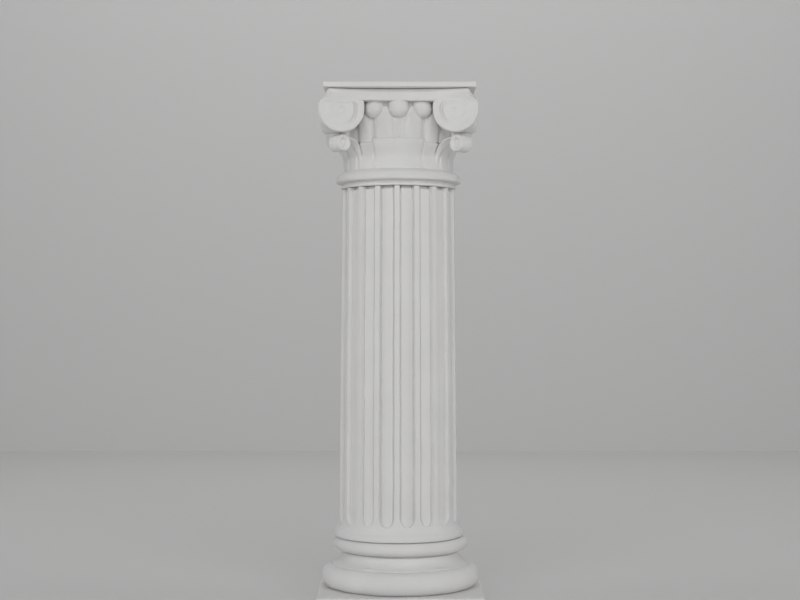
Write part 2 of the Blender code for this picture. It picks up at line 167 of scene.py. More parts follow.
def cast_plaster(name, colour, mottle, grain):
    """Dry white plaster: faint clouds of tone, fine pores, and a softly uneven matt surface."""
    material = bpy.data.materials.new(name)
    material.use_nodes = True
    nodes = material.node_tree.nodes
    links = material.node_tree.links
    shader = nodes["Principled BSDF"]
    shader.inputs["Metallic"].default_value = 0.0
    shader.inputs["Specular IOR Level"].default_value = 0.3
    place = nodes.new("ShaderNodeTexCoord")

    def pattern(scale, detail):
        texture = nodes.new("ShaderNodeTexNoise")
        texture.inputs["Scale"].default_value = scale
        texture.inputs["Detail"].default_value = detail
        links.new(place.outputs["Object"], texture.inputs["Vector"])
        return texture

    def bump(texture, distance):
        node = nodes.new("ShaderNodeBump")
        node.inputs["Strength"].default_value = grain
        node.inputs["Distance"].default_value = distance
        links.new(texture.outputs["Fac"], node.inputs["Height"])
        return node

    clouds = pattern(42.0, 5.0)
    clouds.inputs["Roughness"].default_value = 0.55
    tone = nodes.new("ShaderNodeValToRGB")
    tone.color_ramp.elements[0].position = 0.32
    tone.color_ramp.elements[0].color = (*(part * (1.0 - mottle) for part in colour), 1.0)
    tone.color_ramp.elements[1].position = 0.68
    tone.color_ramp.elements[1].color = (*colour, 1.0)
    links.new(clouds.outputs["Fac"], tone.inputs["Fac"])
    speckle = pattern(900.0, 3.0)
    pores = nodes.new("ShaderNodeMapRange")
    pores.inputs["From Min"].default_value = 0.25
    pores.inputs["From Max"].default_value = 0.42
    pores.inputs["To Min"].default_value = 0.975
    pores.inputs["To Max"].default_value = 1.0
    links.new(speckle.outputs["Fac"], pores.inputs["Value"])
    shade = nodes.new("ShaderNodeMix")
    shade.data_type = "RGBA"
    shade.blend_type = "MULTIPLY"
    shade.inputs["Factor"].default_value = 1.0
    links.new(tone.outputs["Color"], shade.inputs["A"])
    links.new(pores.outputs["Result"], shade.inputs["B"])
    links.new(shade.outputs["Result"], shader.inputs["Base Color"])
    rough = nodes.new("ShaderNodeMapRange")
    rough.inputs["To Min"].default_value = 0.72
    rough.inputs["To Max"].default_value = 0.92
    links.new(clouds.outputs["Fac"], rough.inputs["Value"])
    links.new(rough.outputs["Result"], shader.inputs["Roughness"])
    fine = bump(speckle, 0.00012)
    soft = bump(pattern(260.0, 4.0), 0.00035)
    links.new(fine.outputs["Normal"], soft.inputs["Normal"])
    links.new(soft.outputs["Normal"], shader.inputs["Normal"])
    return material


def base_profile():
    """Mouldings from the plinth's top to the joint, as radius and height in millimetres."""
    half = LOWER_TORUS_HEIGHT / 2
    middle = PLINTH_HALF - PLINTH_MARGIN - half
    points = arc(middle, PLINTH_HEIGHT + half, half, half, -86, 87, 44)
    low = PLINTH_HEIGHT + LOWER_TORUS_HEIGHT
    high = low + SCOTIA_HEIGHT
    for out, up in ((0.25, -0.1), (0.2, SCOTIA_FILLET - 0.3), (-0.05, SCOTIA_FILLET - 0.05)):
        points.append((middle + out, low + up))
    foot = middle - SCOTIA_SETBACK
    for step in range(1, 26):
        share = step / 25
        sag = SCOTIA_SAG * sin(pi * share)
        radius = foot + (SCOTIA_RADIUS - foot) * share - sag
        height = low + SCOTIA_FILLET + (SCOTIA_HEIGHT - SCOTIA_FILLET - 0.2) * share
        points.append((radius, height - sag))
    points += [(SCOTIA_RADIUS - 0.8, high), (SCOTIA_RADIUS - 1.0, high + UNDERCUT_HEIGHT)]
    small = (BASE_TOP + UPPER_TORUS_CUT - high) / 2
    small_middle = UPPER_TORUS_RADIUS - small
    tall = small - UNDERCUT_HEIGHT / 2
    points += arc(small_middle, BASE_TOP + UPPER_TORUS_CUT - tall, small, tall, -82, 56, 34)
    end = small * sqrt(1.0 - (1.0 - UPPER_TORUS_CUT / tall) ** 2)
    points += [(small_middle + end, BASE_TOP - 0.3), (small_middle + end - 0.4, BASE_TOP)]
    return points


def square_ring(half, height, corner):
    """Square outline with small round corners, with as many points as a turned ring."""
    limit = (half - corner) * sqrt(2.0) + corner
    points = []
    for angle in BASE_ANGLES:
        reach = half / cos(radians((angle + 45.0) % 90.0 - 45.0))
        points.append(polar(angle, min(reach, limit), height))
    return points


def make_base():
    """Rings from the middle of the underside out over the plinth and up the mouldings."""
    edge = PLINTH_EDGE
    bevel = edge * EDGE_SHARE
    rings = []
    for share in (0.35, 0.7, 0.95, 1.0):
        rings.append(square_ring((PLINTH_HALF - edge) * share, 0.0, edge))
    rings.append(square_ring(PLINTH_HALF - bevel, bevel, edge))
    for step in range(9):
        rings.append(square_ring(PLINTH_HALF, edge + (PLINTH_HEIGHT - 2 * edge) * step / 8, edge))
    rings.append(square_ring(PLINTH_HALF - bevel, PLINTH_HEIGHT - bevel, edge))
    square = square_ring(PLINTH_HALF - edge, PLINTH_HEIGHT, edge)
    profile = base_profile()
    start = ring_of(BASE_ANGLES, profile[0][0], PLINTH_HEIGHT)
    for step in range(5):
        rings.append([far.lerp(near, step / 5) for far, near in zip(square, start)])
    for radius, height in profile:
        rings.append(ring_of(BASE_ANGLES, radius, height))
    for share in (0.9, 0.5):
        rings.append(ring_of(BASE_ANGLES, profile[-1][0] * share, BASE_TOP))
    soft = [[soften(point) + BASE_SHIFT for point in ring] for ring in rings]
    return built_mesh("base_casting", add_closed_rings, soft)


def soften(point):
    """Lumps in the scotia, and unevenness that fades out at the two faces that other things rest on."""
    turn = degrees(atan2(point.x, -point.y))
    level = clear_of_ends(point.z, 0.0, BASE_TOP, 1.5, 1.0)
    out = Vector((point.x, point.y, 0.0)).normalized() + Vector((0.0, 0.0, LUMP_LIFT))
    for middle, half, size in SCOTIA_LUMPS:
        near = 1.0 - ease(abs(turn - middle) / half)
        near *= 1.0 - ease(abs(point.z - LUMP_HEIGHT) / LUMP_REACH)
        if near > 0.0:
            point = point + out * (size * near * (1.0 + noise.noise(point / LUMP_GRAIN)))
    rim = ease((max(abs(point.x), abs(point.y)) - PLINTH_HALF + CALM_RIM) / CALM_RIM)
    level *= 1.0 - (1.0 - CALM_SHARE) * rim
    return point.lerp(uneven(point, BASE_WAVE, BASE_WAVE_DEPTH), level)


base_plaster = cast_plaster("base plaster", PLASTER_COLOUR, 0.05, 0.30)
base = add_piece("base_casting", make_base(), base_plaster)
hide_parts("base")

# Shaft
# One casting with eighteen flat-bottomed flutes, a round foot that flares out to the base, and a
# thin dark slot at the head of each flute where it runs in under the collar of the capital.

SHAFT_LOW, SHAFT_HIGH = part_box("shaft")
SHAFT_BOTTOM = SHAFT_LOW[2] / MM
SHAFT_TOP = SHAFT_HIGH[2] / MM
SHAFT_RADIUS = 34.3
SHAFT_TAPER = 1.6
STRAIGHT_HEIGHT = 11.0
ENTASIS = 1.35
FOOT_HEIGHT = 3.5
FOOT_RADIUS = 37.2
FOOT_ROUNDING = 0.5
JOINT_SETBACK = 1.5
JOINT_HEIGHT = 0.45
FLARE_HEIGHT = 4.8
FLARE_PROJECTION = 2.4
FLARE_CURVE = 1.5
FLUTES = 18
FILLET_WIDTH = 2.8
FLUTE_DEPTH = 1.8
FLUTE_WALL_SHARE = 0.15
FLUTE_WALL_CURVE = 1.35
FLUTE_QUIRK = 0.45
QUIRK_REACH = 0.11
FLUTE_END_HEIGHT = 5.7
FLUTE_COLUMNS = 28
FILLET_COLUMNS = 5
SLOT_HEIGHT = 1.6
SLOT_DEPTH = 2.0
SLOT_SHARE = 0.93
SHAFT_TURN = -1.4
SHAFT_WAVE = 14.0
SHAFT_WAVE_DEPTH = 0.2


def shaft_radius(height):
    """Radius of the fillets at a height above the shaft's foot."""
    total = SHAFT_TOP - SHAFT_BOTTOM
    rise = max(0.0, height - STRAIGHT_HEIGHT) / (total - STRAIGHT_HEIGHT)
    return SHAFT_RADIUS - SHAFT_TAPER * rise ** ENTASIS


def shaft_profile():
    """Plain turned shaft without its flutes, as radius and height above its foot."""
    total = SHAFT_TOP - SHAFT_BOTTOM
    joint = FOOT_RADIUS - JOINT_SETBACK
    points = [(joint, 0.0), (joint + 0.1, 0.3)]
    for step in range(9):
        radius = FOOT_RADIUS - FOOT_ROUNDING * (1.0 - cos(radians(-60 + 15 * step)))
        points.append((radius, JOINT_HEIGHT + (FOOT_HEIGHT - JOINT_HEIGHT) * step / 8))
    for step in range(1, 15):
        rise = sin(pi / 2 * step / 14)
        radius = SHAFT_RADIUS + FLARE_PROJECTION * (1.0 - rise) ** FLARE_CURVE
        points.append((radius, FOOT_HEIGHT + FLARE_HEIGHT * rise))
    start = FOOT_HEIGHT + FLARE_HEIGHT
    full = start + FLUTE_END_HEIGHT
    last = total - SLOT_HEIGHT
    heights = [start + FLUTE_END_HEIGHT * (1.0 - cos(pi / 2 * step / 18)) for step in range(1, 19)]
    heights += [full + (last - 0.1 - full) * step / 59 for step in range(1, 60)]
    heights += [last, last + 0.05, last + 0.5, total - 0.05, total]
    points += [(shaft_radius(height), height) for height in heights]
    return points


def shaft_angles():
    """Angles of the columns: close together at the edges of each flute."""
    pitch = 360.0 / FLUTES
    half = (pitch - degrees(FILLET_WIDTH / SHAFT_RADIUS)) / 2
    angles = []
    for flute in range(FLUTES):
        middle = (flute + 0.5) * pitch
        for step in range(FLUTE_COLUMNS + 1):
            angles.append(middle - half * cos(pi * step / FLUTE_COLUMNS))
        for step in range(1, FILLET_COLUMNS):
            angles.append(middle + half + (pitch - 2 * half) * step / FILLET_COLUMNS)
    return angles


def new_tree(name, sizes):
    """Node tree that takes a mesh, named sizes and a material."""
    tree = bpy.data.node_groups.new(name, "GeometryNodeTree")
    face = tree.interface
    face.new_socket("Geometry", in_out="INPUT", socket_type="NodeSocketGeometry")
    for label, kind in sizes.items():
        face.new_socket(label, in_out="INPUT", socket_type=kind)
    face.new_socket("Material", in_out="INPUT", socket_type="NodeSocketMaterial")
    face.new_socket("Geometry", in_out="OUTPUT", socket_type="NodeSocketGeometry")
    return tree


def end_tree(tree, given, geometry):
    """Make the tree's result real, give it its material and hand it out."""
    real = tree.nodes.new("GeometryNodeRealizeInstances")
    paint = tree.nodes.new("GeometryNodeSetMaterial")
    result = tree.nodes.new("NodeGroupOutput")
    tree.links.new(geometry, real.inputs[0])
    tree.links.new(real.outputs[0], paint.inputs["Geometry"])
    tree.links.new(given["Material"], paint.inputs["Material"])
    tree.links.new(paint.outputs[0], result.inputs[0])


def calculate(tree, operation, *values, clamp=False):
    """One step of arithmetic in a tree, on sockets or plain numbers."""
    node = tree.nodes.new("ShaderNodeMath")
    node.operation = operation
    node.use_clamp = clamp
    for socket, value in zip(node.inputs, values):
        if isinstance(value, (int, float)):
            socket.default_value = value
        else:
            tree.links.new(value, socket)
    return node.outputs[0]


def flute_tree():
    """Node tree that sinks flutes into a turned shaft, each with a round end and a slot at its head."""
    labels = (
        "Flutes", "Flute Share", "Wall Share", "Wall Curve", "Quirk", "Depth", "Start", "End Height",
        "Slot Start", "Slot Depth", "Slot Share")
    tree = new_tree("cut flutes", {label: "NodeSocketFloat" for label in labels})
    given = tree.nodes.new("NodeGroupInput").outputs

    def math(operation, *values, clamp=False):
        return calculate(tree, operation, *values, clamp=clamp)

    place = tree.nodes.new("GeometryNodeInputPosition")
    split = tree.nodes.new("ShaderNodeSeparateXYZ")
    tree.links.new(place.outputs[0], split.inputs[0])
    x, y, z = split.outputs
    radius = math("SQRT", math("ADD", math("MULTIPLY", x, x), math("MULTIPLY", y, y)))
    turns = math("DIVIDE", math("ARCTAN2", x, math("MULTIPLY", y, -1.0)), 2 * pi)
    count = math("MULTIPLY", turns, given["Flutes"])
    index = math("FLOOR", count)
    across = math("SUBTRACT", math("MULTIPLY", math("SUBTRACT", count, index), 2.0), 1.0)
    size = math("ABSOLUTE", across)
    side = math("SIGN", across)

    # A flute narrows to a round end, so its columns are drawn together there.
    share = given["Flute Share"]
    climb = math("DIVIDE", math("SUBTRACT", z, given["Start"]), given["End Height"], clamp=True)
    missing = math("SUBTRACT", 1.0, climb)
    opening = math("SUBTRACT", 1.0, math("MULTIPLY", missing, missing), clamp=True)
    opening = math("SQRT", opening)
    inside = math("MULTIPLY", size, opening)
    edge = math("MULTIPLY", share, opening)
    beyond = math("DIVIDE", math("SUBTRACT", size, share), math("SUBTRACT", 1.0, share))
    outside = math("ADD", edge, math("MULTIPLY", beyond, math("SUBTRACT", 1.0, edge)))
    in_flute = math("LESS_THAN", size, math("ADD", share, 0.00002))
    on_fillet = math("SUBTRACT", 1.0, in_flute)
    moved = math("ADD", math("MULTIPLY", inside, in_flute), math("MULTIPLY", outside, on_fillet))
    new_across = math("MULTIPLY", moved, side)
    new_count = math("ADD", index, math("MULTIPLY", math("ADD", new_across, 1.0), 0.5))
    angle = math("MULTIPLY", math("DIVIDE", new_count, given["Flutes"]), 2 * pi)

    # Its walls bend into a flat floor, with a fine sunk line at the foot of each.
    local = math("DIVIDE", size, share, clamp=True)
    rise = math("DIVIDE", math("SUBTRACT", 1.0, local), given["Wall Share"], clamp=True)
    hollow = math("SUBTRACT", 1.0, math("POWER", math("SUBTRACT", 1.0, rise), given["Wall Curve"]))
    foot = math("SUBTRACT", 0.98, given["Wall Share"])
    quirk = math("DIVIDE", math("ABSOLUTE", math("SUBTRACT", local, foot)), QUIRK_REACH)
    sunk = math("SUBTRACT", 1.0, quirk, clamp=True)
    hollow = math("ADD", hollow, math("MULTIPLY", sunk, given["Quirk"]))
    depth = math("MULTIPLY", math("MULTIPLY", hollow, opening), given["Depth"])
    in_slot = math("GREATER_THAN", z, given["Slot Start"])
    slot = math("MULTIPLY", in_slot, given["Slot Depth"])
    on_floor = math("GREATER_THAN", given["Slot Share"], local)
    depth = math("ADD", depth, math("MULTIPLY", slot, on_floor))
    new_radius = math("SUBTRACT", radius, depth)

    join = tree.nodes.new("ShaderNodeCombineXYZ")
    forward = math("MULTIPLY", new_radius, math("COSINE", angle))
    tree.links.new(math("MULTIPLY", new_radius, math("SINE", angle)), join.inputs[0])
    tree.links.new(math("MULTIPLY", forward, -1.0), join.inputs[1])
    tree.links.new(z, join.inputs[2])
    move = tree.nodes.new("GeometryNodeSetPosition")
    tree.links.new(given["Geometry"], move.inputs["Geometry"])
    tree.links.new(join.outputs[0], move.inputs["Position"])
    weld = tree.nodes.new("GeometryNodeMergeByDistance")
    weld.inputs["Distance"].default_value = 2 * WELD_DISTANCE
    tree.links.new(move.outputs[0], weld.inputs[0])
    end_tree(tree, given, weld.outputs[0])
    return tree


def run_tree(name, mesh, tree, values):
    """Run a node tree on a mesh and return the plain mesh that it makes."""
    guide = bpy.data.objects.new(name, mesh)
    bpy.context.scene.collection.objects.link(guide)
    modifier = guide.modifiers.new(name, "NODES")
    modifier.node_group = tree
    for item in tree.interface.items_tree:
        if item.in_out == "INPUT" and item.name in values:
            modifier[item.identifier] = values[item.name]
    depsgraph = bpy.context.evaluated_depsgraph_get()
    made = bpy.data.meshes.new_from_object(guide.evaluated_get(depsgraph))
    bpy.data.objects.remove(guide, do_unlink=True)
    return made


def roughen(mesh, low, high, low_fade, high_fade, size, depth):
    """Make a casting softly uneven, but not at the two faces where it meets others."""
    for vert in mesh.vertices:
        point = vert.co / MM
        level = clear_of_ends(point.z, low, high, low_fade, high_fade)
        vert.co = point.lerp(uneven(point, size, depth), level) * MM
    mesh.update()


def make_shaft(material):
    """Turn the plain shaft, cut its flutes, roughen it a little and set it a little askew."""
    angles = shaft_angles()
    rings = [ring_of(angles, radius, SHAFT_BOTTOM + height) for radius, height in shaft_profile()]
    plain = built_mesh("plain_shaft", add_closed_rings, rings)
    start = SHAFT_BOTTOM + FOOT_HEIGHT + FLARE_HEIGHT
    pitch = 2 * pi * SHAFT_RADIUS / FLUTES
    made = run_tree("cut_flutes", plain, flute_tree(), {
        "Flutes": float(FLUTES), "Flute Share": 1.0 - FILLET_WIDTH / pitch,
        "Wall Share": FLUTE_WALL_SHARE, "Wall Curve": FLUTE_WALL_CURVE,
        "Quirk": FLUTE_QUIRK, "Depth": FLUTE_DEPTH * MM,
        "Start": start * MM, "End Height": FLUTE_END_HEIGHT * MM,
        "Slot Start": (SHAFT_TOP - SLOT_HEIGHT + 0.01) * MM, "Slot Depth": SLOT_DEPTH * MM,
        "Slot Share": SLOT_SHARE, "Material": material})
    roughen(made, SHAFT_BOTTOM, SHAFT_TOP, 0.6, 1.5, SHAFT_WAVE, SHAFT_WAVE_DEPTH)
    made.transform(Matrix.Rotation(radians(SHAFT_TURN), 4, "Z"))
    made.update()
    return made


shaft_plaster = cast_plaster("shaft plaster", PLASTER_COLOUR, 0.045, 0.25)
shaft = add_piece("shaft_casting", make_shaft(shaft_plaster), shaft_plaster)
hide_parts("shaft")

# Capital
# One casting, from the thin collar and sloping astragal at its neck to the hollow-sided block: a
# bell with low leaves and tall tongues, a row of eggs, and at each corner two volutes whose horn
# hangs over a curled leaf. The mould was old, so its relief is low and a little blurred.

CAPITAL_LOW, CAPITAL_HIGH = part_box("capital")
CAPITAL_BOTTOM = CAPITAL_LOW[2] / MM
# Collar and the hollow above it, as radius and height above the joint.
COLLAR_OUTLINE = (
    (33.0, 0.0), (33.25, 0.15), (33.3, 0.6), (33.25, 1.15), (33.0, 1.35),
    (32.2, 1.5), (32.0, 2.0), (32.1, 2.6), (32.9, 2.95), (34.2, 3.12))
ASTRAGAL_RADIUS = 36.4
ASTRAGAL_ROUND = 1.4
ASTRAGAL_HEIGHT = 4.6
NECK_SLOPE_START = (35.99, 5.63)
NECK_SLOPE_IN = 3.5
NECK_SLOPE_RISE = 3.6
NECK_SLOPE_SWELL = 1.0
BELL_BOTTOM = CAPITAL_BOTTOM + 8.7
BELL_HEIGHT = 37.9
BELL_RADIUS = 31.0
BELL_SPREAD = 5.0
BELL_HOLLOW = 1.9
BELL_HOLLOW_START = 32.0
ABACUS_BOTTOM = BELL_BOTTOM + BELL_HEIGHT
ABACUS_TOP = CAPITAL_HIGH[2] / MM
LEAF_RADIUS = 31.8
LEAF_CREST = 3.0
LEAF_LEAN_START = 6.5
LEAF_LEAN_RISE = 9.5
LEAF_RIM = 1.1
LEAF_DOME = 0.25
LEAF_DOME_HALF = 24.0
BROAD_LEAF_HEIGHT = 17.3
SIDE_LEAF_HEIGHT = 15.4
SIDE_LEAF_ANGLE = 25.5
# Groove between two low leaves: angle from the middle of the side, half width and depth.
LEAF_GROOVE = (25.9, 1.9, 1.5)
VALLEY_ANGLE = 39.6
VALLEY_DEPTH = 2.4
BUD_HALF = 4.6
BUD_HEIGHT = 7.9
BUD_RELIEF = 2.0
VEIN_ANGLE = -4.4
VEIN_HALF = 0.9
VEIN_DEPTH = 0.22
VEIN_START = 10.5
# Tall tongues: near and far edge and angle of the tip, all in degrees, and height of the tip.
TONGUES = ((5.5, 24.7, 12.2, 35.9), (27.2, 44.5, 33.3, 32.0))
TONGUE_RELIEF = 1.4
TONGUE_TIP = 9.0
TONGUE_GROOVE = (25.9, 1.7, 1.2)
MIDRIB_HALF = 2.6
MIDRIB_RELIEF = 0.55
GROUND_DROP = 0.5
RELIEF_EDGES = (2.6, 5.5, 24.7, 27.2, 40.0, 44.5)
VOLUTE_RADIUS = 12.8
VOLUTE_TOP = 8.2
VOLUTE_CENTRE = ABACUS_BOTTOM - 5.1
VOLUTE_OUT = 31.8
VOLUTE_FRONT = 42.2
VOLUTE_TURN = 12.0
VOLUTE_ROOT = 30.0
VOLUTE_EDGE = 0.9
VOLUTE_LEAN = 1.8
VOLUTE_SIDES = 96
SPIRAL_START = 150.0
SPIRAL_BAND = 5.4
SPIRAL_GROOVE_HALF = 1.3
SPIRAL_GROOVE_DEPTH = 0.2
CRESCENT_DEPTH = 1.8
EYE_DEPTH = 0.5
STEM_FOOT = 29.6
STEM_DROP = 2.0
STEM_BEND = 1.35
STEM_HALF = 1.6
STEM_THICKNESS = 1.2
STEM_SHORT = 2.5
STEM_BELOW = 1.4
CURL_NECK_SETBACK = 2.2
CURL_NECK_LEAN = 3.2
CURL_NECK_SHARE = 0.3
CURL_NECK_RISE = 9.0
CURL_NECK_HALF = 2.9
# Rolled leaf tip at each corner: distance from the axis, height, radius and width.
CURLS = (
    (49.6, 266.3, 4.7, 9.6), (43.8, 270.0, 3.8, 7.8), (43.8, 270.0, 3.8, 7.8), (46.9, 266.8, 4.6, 9.2))
ROLL_EDGE = 0.75
ROLL_DISH = 0.7
ROLL_RIB = 1.7
ROLL_SWELL = 0.25
ABACUS_HALF = 39.9
ABACUS_SAGITTA = 3.4
ABACUS_FLARE = 2.2
ABACUS_CORNER = 2.2
ABACUS_ROUND = 0.5
HORN_SETBACK = 0.6
HORN_START = 17.0
HORN_SPAN = 6.0
EGG_TURNS = (-23.1, 0.0, 22.7)
EGG_OUT = 33.7
EGG_DROP = 3.8
EGG_SIZE = (5.8, 5.5, 5.1)
EGG_STRETCH = 0.8
CAPITAL_WAVE = 5.0
CAPITAL_WAVE_DEPTH = 0.22


def fold(angle):
    """Angle in degrees from the middle of the nearest side, 0 to 45."""
    return abs((angle + 45.0) % 90.0 - 45.0)


def notch(off, half, depth):
    """Depth of a soft groove at a distance from its middle."""
    return depth * (1.0 - ease(abs(off) / half))


def neck_profile():
    """Collar, its dark undercut and the sloping astragal, as radius and height above the joint."""
    middle = ASTRAGAL_RADIUS - ASTRAGAL_ROUND
    points = list(COLLAR_OUTLINE)
    points += arc(middle, ASTRAGAL_HEIGHT, ASTRAGAL_ROUND, ASTRAGAL_ROUND + 0.05, -84, 45, 14)
    radius, height = NECK_SLOPE_START
    for step in range(1, 13):
        share = step / 12
        swell = NECK_SLOPE_SWELL * sin(pi * share)
        points.append((radius - NECK_SLOPE_IN * share + swell, height + NECK_SLOPE_RISE * share))
    return points


def leaf_top(turn):
    """Height of the low tier above the neck."""
    step = ease((turn - SIDE_LEAF_ANGLE) / 0.8)
    return BROAD_LEAF_HEIGHT + (SIDE_LEAF_HEIGHT - BROAD_LEAF_HEIGHT) * step


def leaf_face(angle, height):
    """Radius of the low leaves: upright at first, then leaning out to a soft rim."""
    turn = fold(angle)
    radius = LEAF_RADIUS + LEAF_CREST * ease((height - LEAF_LEAN_START) / LEAF_LEAN_RISE)
    middle, half, depth = LEAF_GROOVE
    radius -= notch(turn - middle, half, depth)
    radius -= VALLEY_DEPTH * ease((turn - VALLEY_ANGLE) / 1.6)
    bud_half = BUD_HALF * sqrt(max(0.0, 1.0 - height / BUD_HEIGHT))
    if bud_half > 0.2:
        bud = 1.0 - ease((45.0 - turn) / bud_half - 0.15)
        radius += BUD_RELIEF * bud * ease(height / 1.5)
    radius -= LEAF_DOME * (min(turn, LEAF_DOME_HALF) / LEAF_DOME_HALF) ** 4
    vein = (angle - VEIN_ANGLE + 45.0) % 90.0 - 45.0
    radius -= notch(vein, VEIN_HALF, VEIN_DEPTH) * ease((height - VEIN_START) / 3.0)
    return radius


def bell_ground(height):
    """Radius of the plain bell, hollowed just under the block."""
    spread = BELL_SPREAD * (height / BELL_HEIGHT) ** 2
    return BELL_RADIUS + spread - BELL_HOLLOW * ease((height - BELL_HOLLOW_START) / 4.5)


def tongue_relief(turn, height):
    """How far the tall tongues stand off the bell."""
    middle, half, depth = TONGUE_GROOVE
    relief = MIDRIB_RELIEF * (1.0 - ease(turn / MIDRIB_HALF)) - GROUND_DROP
    relief -= notch(turn - middle, half, depth)
    for low, high, tip, top in TONGUES:
        open_share = sqrt(max(0.0, min(1.0, (top - height) / TONGUE_TIP)))
        left = tip + (low - tip) * open_share
        right = tip + (high - tip) * open_share
        half = (right - left) / 2
        if half > 0.02:
            off = abs(turn - (left + right) / 2) / half
            if off < 1.0:
                relief = max(relief, TONGUE_RELIEF * (1.0 - off ** 4) * (0.55 + 0.45 * open_share))
    return relief


def bell_column(angle):
    """Points up the bell at an angle: the low leaf, its rounded rim, then the tall tier."""
    turn = fold(angle)
    top = leaf_top(turn)
    points = []
    for step in range(1, 33):
        height = top * step / 32
        rim = max(0.0, (height - (top - LEAF_RIM)) / LEAF_RIM)
        radius = leaf_face(angle, height) - LEAF_RIM * (1.0 - sqrt(max(0.0, 1.0 - rim * rim)))
        points.append(polar(angle, max(radius, BELL_RADIUS), BELL_BOTTOM + 0.5 + height))
    start = top + 0.75
    for step in range(57):
        height = start + (BELL_HEIGHT + 2.0 - start) * step / 56
        radius = bell_ground(height) + tongue_relief(turn, height)
        points.append(polar(angle, radius, BELL_BOTTOM + height))
    return points


def bell_angles():
    """Angles of the columns, closer together along the edges of leaves and tongues."""
    marks = {45.0 * step / 32 for step in range(33)}
    for edge in RELIEF_EDGES:
        marks |= {edge - 0.45, edge, edge + 0.45}
    half = sorted(round(mark, 3) for mark in marks if 0.0 <= mark <= 45.0)
    quarter = half + [90.0 - mark for mark in reversed(half[1:-1])]
    return [mark + 90.0 * side for side in range(4) for mark in quarter]


def add_bell(bm):
    """Neck and bell as one turned grid with its relief."""
    angles = bell_angles()
    rings = [ring_of(angles, radius, CAPITAL_BOTTOM + height) for radius, height in neck_profile()]
    rings += [list(ring) for ring in zip(*(bell_column(angle) for angle in angles))]
    add_closed_rings(bm, rings)


def volute_place(corner, mirrored):
    """Function that puts a point of a volute's face in its place, from its distances from the centre."""
    turn = radians(VOLUTE_TURN)
    outward = Vector((cos(turn), -sin(turn), 0.0))
    forward = Vector((-sin(turn), -cos(turn), 0.0))
    centre = Vector((VOLUTE_OUT, -VOLUTE_FRONT, VOLUTE_CENTRE))
    spin = Matrix.Rotation(pi / 2 * corner, 3, "Z")

    def place(out, up, front=0.0):
        point = centre + outward * out + forward * front
        point.z += up
        if mirrored:
            point.x, point.y = -point.y, -point.x
        return spin @ point

    return place


def volute_outline(radius, angle):
    """Point on the outline: round below, and square-shouldered where it meets the block."""
    side = 1.0 if cos(angle) > 0.0 else -1.03
    wide = abs(cos(angle))
    up = sin(angle)
    if up <= 0.0:
        return side * radius * wide, radius * up
    power = 0.7 if side > 0.0 else 0.45
    return side * radius * wide ** power, VOLUTE_TOP * radius / VOLUTE_RADIUS * up ** power


def spiral_relief(radius, angle):
    """Height of the volute's face: a rounded band wound inwards to a dimpled eye."""
    turn = (radians(SPIRAL_START) - angle) % (2 * pi) / (2 * pi)
    relief = 0.0
    for lap in range(3):
        along = turn + lap
        line = VOLUTE_RADIUS - SPIRAL_BAND * along
        if line > 1.0:
            depth = SPIRAL_GROOVE_DEPTH * ease(along / 0.6)
            depth += CRESCENT_DEPTH * (1.0 - ease(abs(along - 0.9) / 0.24))
            relief -= notch(radius - line, SPIRAL_GROOVE_HALF, depth)
    inward = VOLUTE_RADIUS - radius
    relief += 0.15 * sin(pi * ((inward / SPIRAL_BAND - turn) % 1.0)) * ease(inward / 3.0)
    return relief - EYE_DEPTH * (1.0 - ease(radius / 1.8))


def add_volutes(bm, corner):
    """Two volutes that share one corner: a face, the rim across the diagonal, and the other face."""
    angles = [2 * pi * step / VOLUTE_SIDES for step in range(VOLUTE_SIDES)]
    faces = []
    for mirrored in (False, True):
        place = volute_place(corner, mirrored)
        rings = []
        for step in range(31):
            share = 0.03 + 0.97 * step / 30
            radius = VOLUTE_RADIUS * share
            edge = VOLUTE_EDGE * (1.0 - sqrt(max(0.0, 1.0 - max(0.0, (share - 0.92) / 0.08) ** 2)))
            ring = []
            for angle in angles:
                out, up = volute_outline(radius, angle)
                relief = spiral_relief(radius, angle) - VOLUTE_LEAN * ease((up - 2.5) / 6.0)
                ring.append(place(out, up, relief - edge))
            rings.append(ring)
        faces.append(rings)
    straight = volute_place(corner, False)
    mirror = volute_place(corner, True)
    reach = ((straight(VOLUTE_RADIUS, 0.0) + mirror(VOLUTE_RADIUS, 0.0)) / 2).to_2d().length
    middle = []
    for angle in angles:
        out, up = volute_outline(VOLUTE_RADIUS * 0.97, angle)
        share = (out / VOLUTE_RADIUS + 1.0) / 2
        distance = VOLUTE_ROOT + (reach - 0.4 - VOLUTE_ROOT) * share
        middle.append(polar(90.0 * corner + 45.0, distance, straight(out, up).z))
    rim = []
    for near, far in ((faces[0][-1], middle), (middle, faces[1][-1])):
        for step in range(1, 7):
            rim.append([a.lerp(b, step / 6) for a, b in zip(near, far)])
    add_closed_rings(bm, faces[0] + rim[:-1] + list(reversed(faces[1])))


def on_diagonal(corner):
    """Turn from the front to a corner's diagonal."""
    return Matrix.Rotation(radians(90.0 * corner + 45.0), 3, "Z")


def add_curl_neck(bm, corner):
    """Short neck by which a curled leaf hangs from the horn above it."""
    out, height, radius, width = CURLS[corner]
    spin = on_diagonal(corner)
    rings = []
    for step in range(9):
        share = step / 8
        back = out - CURL_NECK_SETBACK - CURL_NECK_LEAN * share
        middle = Vector((0.0, -back, height + radius * CURL_NECK_SHARE + CURL_NECK_RISE * share))
        ring = []
        for turn in range(24):
            angle = 2 * pi * turn / 24
            across = Vector((width * CURL_NECK_SHARE * cos(angle), CURL_NECK_HALF * sin(angle), 0.0))
            ring.append(spin @ (middle + across))
        rings.append(ring)
    add_closed_rings(bm, rings)


